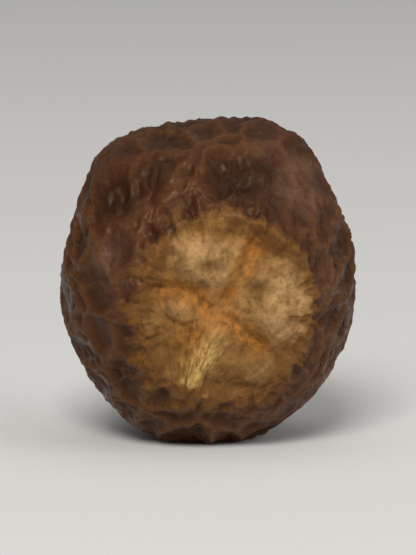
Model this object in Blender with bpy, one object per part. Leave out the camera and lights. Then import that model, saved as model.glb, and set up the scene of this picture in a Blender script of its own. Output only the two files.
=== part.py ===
"""A dried soapberry: one wrinkled, leathery fruit with a flat corky scar on its front.

The fruit stands on a small flat spot round the origin, at z = 0. +Z is up, the scar faces -Y, and +X is to the
right of the scar as it is looked at. Lengths are in metres.
"""

import math

import bmesh
import bpy
import numpy as np
from mathutils import Vector, noise

MM = 0.001
NODE_NAME = "soapberry"

# The plump body, before the scar is cut and the skin shrivels.
HALF_WIDTH = 8.85 * MM
HALF_DEPTH = 8.75 * MM
HALF_HEIGHT = 9.8 * MM
BOXINESS = 2.15
TAPER = 0.07
LUMP_HEIGHT = 0.38 * MM
LUMP_LENGTH = 7.5 * MM
# Flats that dried in: azimuth (0 is +X, 90 is +Y) and elevation in degrees, and share of the body's radius.
FLATS = (
    (15, 26, 0.960),
    (132, 26, 0.955),
    (96, -12, 0.955),
    (182, 18, 0.970),
    (205, -34, 0.985),
    (342, -30, 0.965),
    (60, -42, 0.960),
    (250, 72, 0.955),
)
FLAT_SOFTNESS = 0.35 * MM
# Full shoulders: azimuth and elevation in degrees, share of the radius that they add, and spread in degrees.
SHOULDERS = ((188, 46, 0.055, 30), (0, 60, 0.038, 22))

# The scar: which way it faces, how wide it opens, and the lip round it.
SCAR_AZIMUTH = -82.5
SCAR_ELEVATION = -4.5
SCAR_RADIUS = 5.3 * MM
SCAR_TALLNESS = 0.05
STALK_ANGLE = -113.0
NOTCH_DEPTH = 0.05
NOTCH_SPREAD = 26.0
OUTLINE_WANDER = 0.05
LIP_HEIGHT = 0.36 * MM
LIP_WANDER = 0.16 * MM
LIP_WIDTH = 0.9 * MM
LIP_WALL = 0.17
# Horns of the lip: turn in degrees, spread in degrees and height in millimetres.
HORNS = ((-127, 28, 0.16), (52, 26, 0.4))

# Features of the scar, in millimetres right and up from its middle.
BULGE = 0.3 * MM
EDGE_FADE = 0.78
# Oval, flat-topped lobes: place, half lengths across and up, turn in degrees and height.
LOBES = (
    (-0.9, 2.9, 2.5, 1.75, -10, 0.8),
    (3.1, 0.5, 1.8, 2.8, 12, 0.85),
    (1.8, -3.6, 1.4, 1.0, -15, 0.4),
    (-2.7, 0.1, 1.1, 0.8, -25, 0.4),
)
LOBE_PLATEAU = 0.5
LOBE_FOOT = 1.15
LOBE_WANDER = 0.16
LOBE_WANDER_LENGTH = 1.4 * MM
# Round pits: place, radius and depth.
PITS = ((-1.1, 2.45, 0.36, 0.45), (1.9, 1.25, 0.4, 0.45), (-2.0, -1.7, 0.9, 0.3))
GROOVES = (
    ((2.2, 4.5), (1.0, 2.6), (0.1, 0.7), (-0.9, -0.2)),
    ((-0.9, -0.2), (0.5, -0.9), (1.9, -2.2)),
    ((-4.5, 1.4), (-3.2, 1.3), (-1.9, 0.9), (-0.9, -0.2)),
)
GROOVE_WIDTH = 0.45
GROOVE_DEPTH = 0.55 * MM
STALK_SCAR = ((-0.6, -1.2), (-1.25, -2.9), (-2.1, -4.7))
STALK_WIDTH = 0.62
STALK_HEIGHT = 0.6 * MM
CORK_HEIGHT = 0.24 * MM
CORK_LENGTH = 1.3 * MM

# The skin's raised net of wrinkles, the puckers at the lip, and two deep dimples.
NET_CELL = 2.3 * MM
NET_HEIGHT = 0.42 * MM
NET_MEAN = 0.45
NET_REACH = 0.34
NET_JITTER = 0.86
NET_WARP = 0.75 * MM
NET_WARP_LENGTH = 2.9 * MM
NET_STRETCH = 1.7
NET_FADE = 1.5 * MM
PUCKER_LENGTH = 1.15 * MM
PUCKER_HEIGHT = 0.26 * MM
PUCKER_REACH = 1.5 * MM
# Dimples: azimuth and elevation in degrees, radius and depth in millimetres.
DIMPLES = ((-131, 35, 1.25, 0.5), (-72, 46, 1.5, 0.55))

# The flat spot that the fruit rests on.
SPOT_RADIUS = 2.5 * MM
SPOT_FADE = 1.2 * MM

# The mesh: cells across the scar and across the back, and rings from the lip to the back.
CAP_CELLS = 26
SIDE_RINGS = 35
BACK_ANGLE = 142.0
RING_CROWDING = 1.18

SEED = 41
SEED_SHIFT = Vector((3.7, 11.2, 5.9))
SKIN_COLOUR = (0.085, 0.040, 0.022, 1.0)
SKIN_ROUGHNESS = 0.42


def unit_of(azimuth, elevation):
    """The unit vector at an azimuth and elevation in degrees."""
    a, e = math.radians(azimuth), math.radians(elevation)
    return np.array((math.cos(e) * math.cos(a), math.cos(e) * math.sin(a), math.sin(e)))


def smooth(low, high, value):
    """0 below low, 1 above high, and a smooth step between them."""
    t = np.clip((value - low) / (high - low), 0.0, 1.0)
    return t * t * (3.0 - 2.0 * t)


def bell(distance, spread):
    """1 at no distance, falling smoothly to nothing over a few spreads."""
    return np.exp(-((distance / spread) ** 2))


def noise_at(points, length, shift):
    """Smooth noise from -1 to 1 at each point, with features of about that length."""
    offset = SEED_SHIFT * shift
    return np.array([noise.noise(Vector(p) / length + offset) for p in points])


def turn_between(angle, other):
    """The difference between two angles in degrees, from -180 to 180."""
    return (angle - other + 180.0) % 360.0 - 180.0


def corner_draw(corner, salt):
    """A repeatable draw from 0 to 1 for each whole-numbered corner of a grid."""
    x, y, z = (corner[:, i].astype(np.int64) for i in range(3))
    mixed = (x * 73856093) ^ (y * 19349663) ^ (z * 83492791) ^ (salt * 2654435761)
    mixed = (mixed ^ (mixed >> 13)) * 1274126177 & 0x7FFFFFFF
    mixed = (mixed ^ (mixed >> 15)) * 2246822519 & 0x7FFFFFFF
    return (mixed ^ (mixed >> 11)) % 65536 / 65535.0


def distance_to_cell_edge(points):
    """Distance from each point to the nearest edge of an irregular honeycomb with cells about 1 across."""
    corner = np.floor(points)
    steps = [(i, j, k) for i in range(-2, 3) for j in range(-2, 3) for k in range(-2, 3)]
    offsets = []
    for step in steps:
        place = corner + step
        draw = np.stack([corner_draw(place, SEED + i) for i in range(3)], axis=1)
        offsets.append(place + 0.5 + NET_JITTER * (draw - 0.5) - points)
    lengths = np.stack([np.linalg.norm(offset, axis=1) for offset in offsets])
    nearest = np.stack(offsets)[lengths.argmin(axis=0), np.arange(len(points))]
    best = np.full(len(points), np.inf)
    for offset in offsets:
        apart = offset - nearest
        length = np.linalg.norm(apart, axis=1)
        to_edge = ((offset + nearest) / 2 * apart).sum(axis=1) / np.maximum(length, 1e-9)
        best = np.where(length > 1e-6, np.minimum(best, to_edge), best)
    return best


def nearness_to_oval(right, up, oval):
    """0 at the middle of an oval on the scar's plane and 1 on its edge; all lengths in millimetres."""
    at_right, at_up, half_across, half_up, turn = oval
    c, s = math.cos(math.radians(turn)), math.sin(math.radians(turn))
    across, along = right - at_right, up - at_up
    return np.hypot((c * across + s * along) / half_across, (c * along - s * across) / half_up)


def distance_to_path(right, up, path):
    """Distance in millimetres from each point of the scar's plane to a path of straight runs."""
    best = np.full(right.shape, np.inf)
    for (x0, y0), (x1, y1) in zip(path, path[1:]):
        dx, dy = x1 - x0, y1 - y0
        t = np.clip(((right - x0) * dx + (up - y0) * dy) / (dx * dx + dy * dy), 0, 1)
        best = np.minimum(best, np.hypot(right - x0 - t * dx, up - y0 - t * dy))
    return best


class Scar:
    """The scar's own directions, the outline of its lip and the relief of its face."""

    def __init__(self):
        self.out = unit_of(SCAR_AZIMUTH, SCAR_ELEVATION)
        self.right = unit_of(SCAR_AZIMUTH + 90.0, 0.0)
        self.up = np.cross(self.out, self.right)

    def direction(self, angle_off, turn):
        """Unit vectors at an angle off the scar's middle and a turn round it, in radians."""
        flat = np.outer(np.cos(turn), self.right) + np.outer(np.sin(turn), self.up)
        return np.cos(angle_off)[:, None] * self.out + np.sin(angle_off)[:, None] * flat

    def stalk_direction(self):
        """The unit vector from the middle of the fruit towards where its stalk was."""
        turn = np.radians(np.array([STALK_ANGLE]))
        return self.direction(self.lip_angle(turn), turn)[0]

    def lip_angle(self, turn):
        """How far off the scar's middle its lip lies at each turn, in radians."""
        degrees = np.degrees(turn)
        shape = 1.0 - SCAR_TALLNESS * np.cos(2.0 * turn)
        shape -= NOTCH_DEPTH * bell(turn_between(degrees, STALK_ANGLE + 180.0), NOTCH_SPREAD)
        around = np.stack((np.cos(turn), np.sin(turn), np.zeros(turn.shape)), axis=1)
        shape += OUTLINE_WANDER * noise_at(around, 0.55, 1.0)
        mean_radius = (HALF_WIDTH + HALF_HEIGHT) / 2
        return np.arcsin(SCAR_RADIUS * shape / mean_radius)

    def lip_height(self, turn):
        """How high the lip stands at each turn, with a horn at each end of the scar."""
        around = np.stack((np.cos(turn), np.sin(turn), np.ones(turn.shape)), axis=1)
        height = LIP_HEIGHT + LIP_WANDER * noise_at(around, 0.3, 5.0)
        for at, spread, rise in HORNS:
            height += rise * MM * bell(turn_between(np.degrees(turn), at), spread)
        return height

    def face_height(self, points, reach):
        """Height of the scar's face over its plane: bulge, lobes, pits, grooves, stalk scar and cork."""
        right, up = points @ self.right / MM, points @ self.up / MM
        height = BULGE * (1.0 - reach**2)
        wobble = LOBE_WANDER * noise_at(points, LOBE_WANDER_LENGTH, 27.0)
        for *oval, rise in LOBES:
            near = nearness_to_oval(right, up, oval) + wobble
            height += rise * MM * (1.0 - smooth(LOBE_PLATEAU, LOBE_FOOT, near))
        for at_right, at_up, radius, depth in PITS:
            height -= depth * MM * bell(np.hypot(right - at_right, up - at_up), radius)
        to_groove = np.min([distance_to_path(right, up, path) for path in GROOVES], axis=0)
        height -= GROOVE_DEPTH * bell(to_groove, GROOVE_WIDTH)
        stalk = bell(distance_to_path(right, up, STALK_SCAR), STALK_WIDTH)
        cork = noise_at(points, CORK_LENGTH, 11.0)
        return height + (STALK_HEIGHT * stalk + CORK_HEIGHT * cork) * (1.0 - smooth(EDGE_FADE, 1.0, reach))


def body_radius(directions):
    """Distance from the middle of the fruit to its plump outside, along each direction."""
    girth = 1.0 + TAPER * directions[:, 2]
    tall = np.full(girth.shape, HALF_HEIGHT)
    halves = np.stack((HALF_WIDTH * girth, HALF_DEPTH * girth, tall), axis=1)
    radius = ((np.abs(directions) / halves) ** BOXINESS).sum(axis=1) ** (-1.0 / BOXINESS)
    for azimuth, elevation, share in FLATS:
        toward = unit_of(azimuth, elevation)
        spans = np.abs(toward) / (HALF_WIDTH, HALF_DEPTH, HALF_HEIGHT)
        plain = (spans**BOXINESS).sum() ** (-1.0 / BOXINESS)
        facing = np.maximum(directions @ toward, 0.3)
        over = (radius - share * plain / facing) / FLAT_SOFTNESS
        radius = radius - FLAT_SOFTNESS * np.logaddexp(0.0, over)
    for azimuth, elevation, share, spread in SHOULDERS:
        off = np.degrees(np.arccos(np.clip(directions @ unit_of(azimuth, elevation), -1.0, 1.0)))
        radius = radius * (1.0 + share * bell(off, spread))
    lumps = noise_at(directions * HALF_HEIGHT, LUMP_LENGTH, 2.0)
    return radius + LUMP_HEIGHT * lumps * (1.0 - smooth(0.84, 0.97, -directions[:, 2]))


def net_relief(points, grain):
    """The raised net at each point of the skin, 0 in a hollow and 1 on a ridge, with cells long along the grain."""
    warp = np.stack([noise_at(points, NET_WARP_LENGTH, 3.0 + i) for i in range(3)], axis=1)
    moved = (points + NET_WARP * warp) / NET_CELL
    moved -= np.outer(moved @ grain, grain) * (1.0 - 1.0 / NET_STRETCH)
    strength = 0.8 + 0.35 * noise_at(points, 2.6 * NET_CELL, 7.0)
    return (1.0 - smooth(0.0, NET_REACH, distance_to_cell_edge(moved))) * strength


def skin_height(points, lip_points, lip_distance, grain):
    """Height of the skin's relief at each point, fading out at the lip and round the flat spot."""
    directions = points / np.linalg.norm(points, axis=1)[:, None]
    aside = np.hypot(points[:, 0], points[:, 1])
    near_spot = (directions[:, 2] < 0) & (aside < SPOT_RADIUS + SPOT_FADE)
    spot = np.where(near_spot, smooth(SPOT_RADIUS * 0.7, SPOT_RADIUS + SPOT_FADE, aside), 1.0)
    fade = smooth(0.0, NET_FADE, lip_distance) * spot
    height = NET_HEIGHT * (net_relief(points, grain) - NET_MEAN) * fade
    pucker = 1.0 - 3.0 * np.abs(noise_at(lip_points + 0.25 * points, PUCKER_LENGTH, 9.0))
    swell = np.exp(-lip_distance / PUCKER_REACH) * smooth(0.0, PUCKER_REACH / 2, lip_distance)
    height += PUCKER_HEIGHT * pucker * swell
    for azimuth, elevation, radius, depth in DIMPLES:
        apart = np.linalg.norm(directions - unit_of(azimuth, elevation), axis=1)
        height -= depth * MM * bell(apart * HALF_WIDTH, radius * MM)
    return height


def shape_fruit(cube):
    """Where each point of a cube of half-size 1 goes on the fruit, measured from the fruit's middle.

    The cube's front face becomes the scar, its four sides run from the lip to the back, and its back face
    closes the back. Relief moves a point straight out from the middle, so the surface can't cross itself.
    """
    scar = Scar()
    u, v = cube[:, 0], cube[:, 2]
    x, y = u * np.sqrt(1.0 - v * v / 2.0), v * np.sqrt(1.0 - u * u / 2.0)
    turn, reach = np.arctan2(y, x), np.minimum(np.hypot(x, y), 1.0)
    run = np.clip((cube[:, 1] + 1.0) / 2.0, 0.0, 1.0)
    in_scar, in_back = run <= 0.0, run >= 1.0

    lip_angle = scar.lip_angle(turn)
    back_angle = math.radians(BACK_ANGLE)
    angle = lip_angle + (back_angle - lip_angle) * run**RING_CROWDING
    angle = np.where(in_back, math.pi - (math.pi - back_angle) * reach, angle)
    directions = scar.direction(angle, turn)
    points = directions * body_radius(directions)[:, None]

    lip_directions = scar.direction(lip_angle, turn)
    lip_points = lip_directions * body_radius(lip_directions)[:, None]
    middle = scar.out * (lip_points @ scar.out).mean()
    face_points = middle + (lip_points - middle) * reach[:, None]
    points = np.where(in_scar[:, None], face_points, points)
    outward = points / np.linalg.norm(points, axis=1)[:, None]

    lip = scar.lip_height(turn)
    inside = scar.face_height(points, reach) + lip * smooth(1.0 - LIP_WALL, 1.0, reach)
    lip_distance = (angle - lip_angle) * np.linalg.norm(points, axis=1)
    outside = skin_height(points, lip_points, lip_distance, scar.stalk_direction())
    outside += lip * np.exp(-lip_distance / LIP_WIDTH)
    return points + outward * np.where(in_scar, inside, outside)[:, None]


def stand_on_spot(points):
    """Lifts the fruit until the flat spot that is pressed into its underside lies at z = 0."""
    underside = body_radius(np.array(((0.0, 0.0, -1.0),)))[0]
    press = SPOT_RADIUS**2 / (2.0 * HALF_HEIGHT)
    lifted = points + np.array((0.0, 0.0, underside - press))
    lifted[:, 2] = np.maximum(lifted[:, 2], 0.0)
    return lifted


def divided_cube():
    """A mesh cube of half-size 1, its front and back cut into grids and its four sides into rings."""
    bm = bmesh.new()
    bmesh.ops.create_cube(bm, size=2.0)
    along = [e for e in bm.edges if abs(e.verts[0].co.y - e.verts[1].co.y) > 1.0]
    bmesh.ops.subdivide_edges(bm, edges=along, cuts=SIDE_RINGS - 1, use_grid_fill=True)
    across = [e for e in bm.edges if abs(e.verts[0].co.y - e.verts[1].co.y) < 1e-6]
    bmesh.ops.subdivide_edges(bm, edges=across, cuts=CAP_CELLS - 1, use_grid_fill=True)
    return bm


def split_quads(bm, centres):
    """Splits each four-sided face along the diagonal that lies nearer to the true surface at its centre."""
    for face, centre in zip(list(bm.faces), centres):
        a, b, c, d = face.verts
        gap_ac = ((a.co + c.co) / 2 - Vector(centre)).length
        gap_bd = ((b.co + d.co) / 2 - Vector(centre)).length
        ends = (a, c) if gap_ac < gap_bd else (b, d)
        bmesh.utils.face_split(face, *ends)


def skin_material():
    """Dark reddish-brown leathery skin."""
    material = bpy.data.materials.new("soapberry_skin")
    material.use_nodes = True
    shader = material.node_tree.nodes["Principled BSDF"]
    shader.inputs["Base Color"].default_value = SKIN_COLOUR
    shader.inputs["Roughness"].default_value = SKIN_ROUGHNESS
    shader.inputs["Metallic"].default_value = 0.0
    return material


def build_soapberry(collection):
    """The whole fruit, as one closed body."""
    bm = divided_cube()
    corners = [vertex.co for vertex in bm.verts]
    centres = [face.calc_center_median() for face in bm.faces]
    places = stand_on_spot(shape_fruit(np.array(corners + centres)))
    for vertex, place in zip(bm.verts, places):
        vertex.co = place
    split_quads(bm, places[len(corners) :])
    mesh = bpy.data.meshes.new(NODE_NAME)
    bm.to_mesh(mesh)
    bm.free()
    mesh.shade_smooth()
    mesh.materials.append(skin_material())
    berry = bpy.data.objects.new(NODE_NAME, mesh)
    collection.objects.link(berry)


def main():
    """Clears the scene and builds the fruit in a collection of its own."""
    for old in list(bpy.data.objects):
        bpy.data.objects.remove(old)
    collection = bpy.data.collections.new("Soapberry")
    bpy.context.scene.collection.children.link(collection)
    build_soapberry(collection)


main()
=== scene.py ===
"""The look of one dried soapberry: its wrinkled skin, its corky two-lobed scar, and a plain studio."""

import logging
import math
from dataclasses import dataclass
from enum import Enum

import bmesh
import bpy
import numpy as np
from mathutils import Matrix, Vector, noise


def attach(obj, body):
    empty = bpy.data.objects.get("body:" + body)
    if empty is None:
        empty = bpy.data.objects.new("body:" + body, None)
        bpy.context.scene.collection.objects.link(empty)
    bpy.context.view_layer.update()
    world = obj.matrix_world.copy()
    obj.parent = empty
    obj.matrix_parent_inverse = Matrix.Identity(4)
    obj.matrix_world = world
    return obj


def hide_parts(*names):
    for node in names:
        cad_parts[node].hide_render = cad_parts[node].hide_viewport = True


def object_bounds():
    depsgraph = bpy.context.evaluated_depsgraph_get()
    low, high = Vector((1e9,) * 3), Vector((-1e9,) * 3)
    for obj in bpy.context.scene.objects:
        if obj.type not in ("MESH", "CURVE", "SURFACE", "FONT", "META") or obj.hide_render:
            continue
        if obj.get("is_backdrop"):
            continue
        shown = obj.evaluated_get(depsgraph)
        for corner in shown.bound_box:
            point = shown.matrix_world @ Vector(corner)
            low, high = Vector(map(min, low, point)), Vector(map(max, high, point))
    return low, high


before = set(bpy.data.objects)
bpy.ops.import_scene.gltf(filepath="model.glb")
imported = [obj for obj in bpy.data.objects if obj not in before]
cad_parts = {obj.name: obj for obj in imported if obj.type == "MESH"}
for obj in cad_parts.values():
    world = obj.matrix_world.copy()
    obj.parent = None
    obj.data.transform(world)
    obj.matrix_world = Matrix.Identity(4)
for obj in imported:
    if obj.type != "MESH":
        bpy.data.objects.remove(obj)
CAD_LOW, CAD_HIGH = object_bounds()

LOG = logging.getLogger("soapberry")
MM = 0.001
BODY = "root"
NODE = "soapberry"
NET_SEED = 41
FINE_NET_SEED = NET_SEED + 3
PORE_SEED = NET_SEED + 5
GRAIN_SEED = NET_SEED + 7
SEED_SHIFT = Vector((3.7, 11.2, 5.9))
TINY = 1e-6

Colour = tuple[float, float, float, float]
Path = tuple[tuple[float, float], ...]
Socket = bpy.types.NodeSocket


class Draw(Enum):
    """Which stretch of the noise each use of it reads."""

    OUTLINE = 1.0
    LUMPS = 2.0
    WARP = 3.0
    LIP = 5.0
    NET = 7.0
    PUCKERS = 9.0
    CORK = 11.0
    FIBRES = 13.0
    LIP_FRAY = 15.0
    COARSE = 17.0
    CRUMBS = 19.0
    SWAY = 21.0
    FINE_NET = 23.0
    CREPE = 25.0
    LOBES = 27.0
    OUTLINE_FRAY = 29.0
    CRINKLE = 31.0
    RAGGED = 33.0
    TEAR = 35.0


class Mask(Enum):
    """The masks that the fruit's mesh carries for its materials, one value a point."""

    RIDGE = "ridge"
    LIP = "lip"
    CREAM = "cream"
    VALLEY = "valley"
    STALK = "stalk"
    SHADE = "shade"
    DUST_AND_SHEEN = "dust_and_sheen"


class Run(Enum):
    """The coordinates that the fruit's mesh carries for streaks that follow its surface, in millimetres."""

    FIBRES = "fibres"
    PUCKERS = "puckers"


def unit_of(azimuth: float, elevation: float) -> np.ndarray:
    """Gives the unit vector at an azimuth and elevation in degrees."""
    a, e = math.radians(azimuth), math.radians(elevation)
    return np.array((math.cos(e) * math.cos(a), math.cos(e) * math.sin(a), math.sin(e)))


def smooth(low: float, high: float, value: np.ndarray) -> np.ndarray:
    """Gives 0 below low, 1 above high, and a smooth step between them."""
    t = np.clip((value - low) / (high - low), 0.0, 1.0)
    return t * t * (3.0 - 2.0 * t)


def bell(distance: np.ndarray, spread: float) -> np.ndarray:
    """Gives 1 at no distance, falling smoothly to nothing over a few spreads."""
    return np.exp(-((distance / spread) ** 2))


def noise_at(points: np.ndarray, length: float, draw: Draw, part: int = 0) -> np.ndarray:
    """Gives smooth noise from -1 to 1 at each point.

    Args:
        points: Places, one a row.
        length: About how long a feature of the noise is, in the same unit.
        draw: The stretch of the noise that is read.
        part: How many stretches further on it is.

    Returns:
        One value a point.
    """
    offset = SEED_SHIFT * (draw.value + part)
    return np.array([noise.noise(Vector(p) / length + offset) for p in points])


def wander_at(points: np.ndarray, length: float, draw: Draw) -> np.ndarray:
    """Gives smooth noise from -1 to 1 along each of the three axes, one row a point."""
    return np.stack([noise_at(points, length, draw, i) for i in range(3)], axis=1)


def turn_between(angle: np.ndarray, other: float) -> np.ndarray:
    """Gives the difference between two angles in degrees, from -180 to 180."""
    return (angle - other + 180.0) % 360.0 - 180.0


class Honeycomb:
    """An irregular honeycomb in space with cells about 1 across, which wrinkles and cork grains follow."""

    CHUNK = 20000
    PRIMES = (73856093, 19349663, 83492791, 2654435761)
    STIRS = ((13, 1274126177), (15, 2246822519))
    LAST_SHIFT = 11
    KEEP = 0x7FFFFFFF
    LEVELS = 65536

    def __init__(self, seed: int, jitter: float, reach: int = 2) -> None:
        """Sets the honeycomb's draw.

        Args:
            seed: Picks the draw.
            jitter: How far a cell's middle may wander, as a share of the cell.
            reach: How many cells each way are searched.
        """
        self.seed = seed
        self.jitter = jitter
        steps = range(-reach, reach + 1)
        self.steps = [(i, j, k) for i in steps for j in steps for k in steps]

    def _draw(self, corner: np.ndarray, salt: int) -> np.ndarray:
        """Gives a repeatable draw from 0 to 1 for each whole-numbered corner of a grid."""
        x, y, z = (corner[:, i].astype(np.int64) for i in range(3))
        by_x, by_y, by_z, by_salt = self.PRIMES
        mixed = (x * by_x) ^ (y * by_y) ^ (z * by_z) ^ (salt * by_salt)
        for shift, factor in self.STIRS:
            mixed = (mixed ^ (mixed >> shift)) * factor & self.KEEP
        return (mixed ^ (mixed >> self.LAST_SHIFT)) % self.LEVELS / (self.LEVELS - 1.0)

    def _offsets(self, points: np.ndarray) -> list[np.ndarray]:
        """Gives the way from each point to the middles of the cells round it."""
        corner = np.floor(points)
        offsets = []
        for step in self.steps:
            place = corner + step
            draw = np.stack([self._draw(place, self.seed + i) for i in range(3)], axis=1)
            offsets.append(place + 0.5 + self.jitter * (draw - 0.5) - points)
        return offsets

    def _edge_of(self, points: np.ndarray) -> np.ndarray:
        """Gives the distance to the nearest edge for a small set of points."""
        offsets = self._offsets(points)
        lengths = np.stack([np.linalg.norm(offset, axis=1) for offset in offsets])
        nearest = np.stack(offsets)[lengths.argmin(axis=0), np.arange(len(points))]
        best = np.full(len(points), np.inf)
        for offset in offsets:
            apart = offset - nearest
            length = np.linalg.norm(apart, axis=1)
            to_edge = ((offset + nearest) / 2 * apart).sum(axis=1) / np.maximum(length, TINY)
            best = np.where(length > TINY, np.minimum(best, to_edge), best)
        return best

    def edge_distance(self, points: np.ndarray) -> np.ndarray:
        """Gives each point's distance to the nearest edge of a cell.

        Args:
            points: Places in cells, one a row.

        Returns:
            One distance a point, in cells.
        """
        parts = [points[i : i + self.CHUNK] for i in range(0, len(points), self.CHUNK)]
        return np.concatenate([self._edge_of(part) for part in parts])

    def middle_distance(self, points: np.ndarray) -> np.ndarray:
        """Gives each point's distance to the nearest middle of a cell, in cells."""
        found = []
        for i in range(0, len(points), self.CHUNK):
            offsets = self._offsets(points[i : i + self.CHUNK])
            found.append(np.stack([np.linalg.norm(o, axis=1) for o in offsets]).min(axis=0))
        return np.concatenate(found)


@dataclass(frozen=True)
class Flat:
    """A patch of the fruit that dried in flat."""

    azimuth: float
    elevation: float
    share: float


@dataclass(frozen=True)
class Shoulder:
    """A full place on the fruit: where it is in degrees, the share it adds to the radius, and its spread."""

    azimuth: float
    elevation: float
    share: float
    spread: float


@dataclass(frozen=True)
class Mark:
    """A soft round mark on the skin, placed in degrees: its radius in millimetres, and how strong it is."""

    azimuth: float
    elevation: float
    radius: float
    strength: float


@dataclass(frozen=True)
class Horn:
    """A place round the scar where its lip or its stain swells to a peak, in degrees and millimetres."""

    turn: float
    spread: float
    rise: float

    def swell(self, turn: np.ndarray) -> np.ndarray:
        """Gives how much it adds at each turn in radians, in metres."""
        return self.rise * MM * bell(turn_between(np.degrees(turn), self.turn), self.spread)


@dataclass(frozen=True)
class Lobe:
    """An oval, flat-topped knob on the scar's face, in millimetres right and up from the scar's middle."""

    right: float
    up: float
    half_across: float
    half_up: float
    turn: float
    rise: float

    def nearness(self, right: np.ndarray, up: np.ndarray) -> np.ndarray:
        """Gives 0 at the knob's middle and 1 at its edge."""
        c, s = math.cos(math.radians(self.turn)), math.sin(math.radians(self.turn))
        across, along = right - self.right, up - self.up
        return np.hypot((c * across + s * along) / self.half_across, (c * along - s * across) / self.half_up)


@dataclass(frozen=True)
class Pit:
    """A small round pit in the scar's face, in millimetres right and up from the scar's middle."""

    right: float
    up: float
    radius: float
    depth: float

    def distance(self, right: np.ndarray, up: np.ndarray) -> np.ndarray:
        """Gives each place's distance from the pit's middle, in millimetres."""
        return np.hypot(right - self.right, up - self.up)


@dataclass(frozen=True)
class Blot:
    """A soft round patch of colour on the scar's face, in millimetres right and up from its middle."""

    right: float
    up: float
    radius: float
    share: float

    def strength(self, right: np.ndarray, up: np.ndarray) -> np.ndarray:
        """Gives how strongly the patch shows at each place."""
        return self.share * bell(np.hypot(right - self.right, up - self.up), self.radius)


@dataclass
class Body:
    """The plump body of the fruit, before the scar is cut and the skin shrivels."""

    half_width: float = 8.85 * MM
    half_depth: float = 8.75 * MM
    half_height: float = 9.8 * MM
    boxiness: float = 2.15
    taper: float = 0.07
    lump_height: float = 0.38 * MM
    lump_length: float = 7.5 * MM
    calm_underside: tuple[float, float] = (0.84, 0.97)
    flat_softness: float = 0.35 * MM
    flat_least_facing: float = 0.3
    flats: tuple[Flat, ...] = (
        Flat(15, 26, 0.960),
        Flat(132, 26, 0.955),
        Flat(96, -12, 0.955),
        Flat(182, 18, 0.970),
        Flat(205, -34, 0.985),
        Flat(342, -30, 0.965),
        Flat(60, -42, 0.960),
        Flat(250, 72, 0.955),
    )
    shoulders: tuple[Shoulder, ...] = (Shoulder(188, 46, 0.055, 30), Shoulder(0, 60, 0.038, 22))

    def radius(self, directions: np.ndarray) -> np.ndarray:
        """Gives the distance from the fruit's middle to its plump outside.

        Args:
            directions: Unit vectors, one a row.

        Returns:
            One distance a direction, in metres.
        """
        girth = 1.0 + self.taper * directions[:, 2]
        tall = np.full(girth.shape, self.half_height)
        halves = np.stack((self.half_width * girth, self.half_depth * girth, tall), axis=1)
        power = self.boxiness
        radius = ((np.abs(directions) / halves) ** power).sum(axis=1) ** (-1.0 / power)
        for flat in self.flats:
            toward = unit_of(flat.azimuth, flat.elevation)
            spans = np.abs(toward) / (self.half_width, self.half_depth, self.half_height)
            plain = (spans**power).sum() ** (-1.0 / power)
            facing = np.maximum(directions @ toward, self.flat_least_facing)
            over = (radius - flat.share * plain / facing) / self.flat_softness
            radius = radius - self.flat_softness * np.logaddexp(0.0, over)
        for shoulder in self.shoulders:
            facing = directions @ unit_of(shoulder.azimuth, shoulder.elevation)
            off = np.degrees(np.arccos(np.clip(facing, -1.0, 1.0)))
            radius = radius * (1.0 + shoulder.share * bell(off, shoulder.spread))
        lumps = noise_at(directions * self.half_height, self.lump_length, Draw.LUMPS)
        return radius + self.lump_height * lumps * (1.0 - smooth(*self.calm_underside, -directions[:, 2]))


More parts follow.
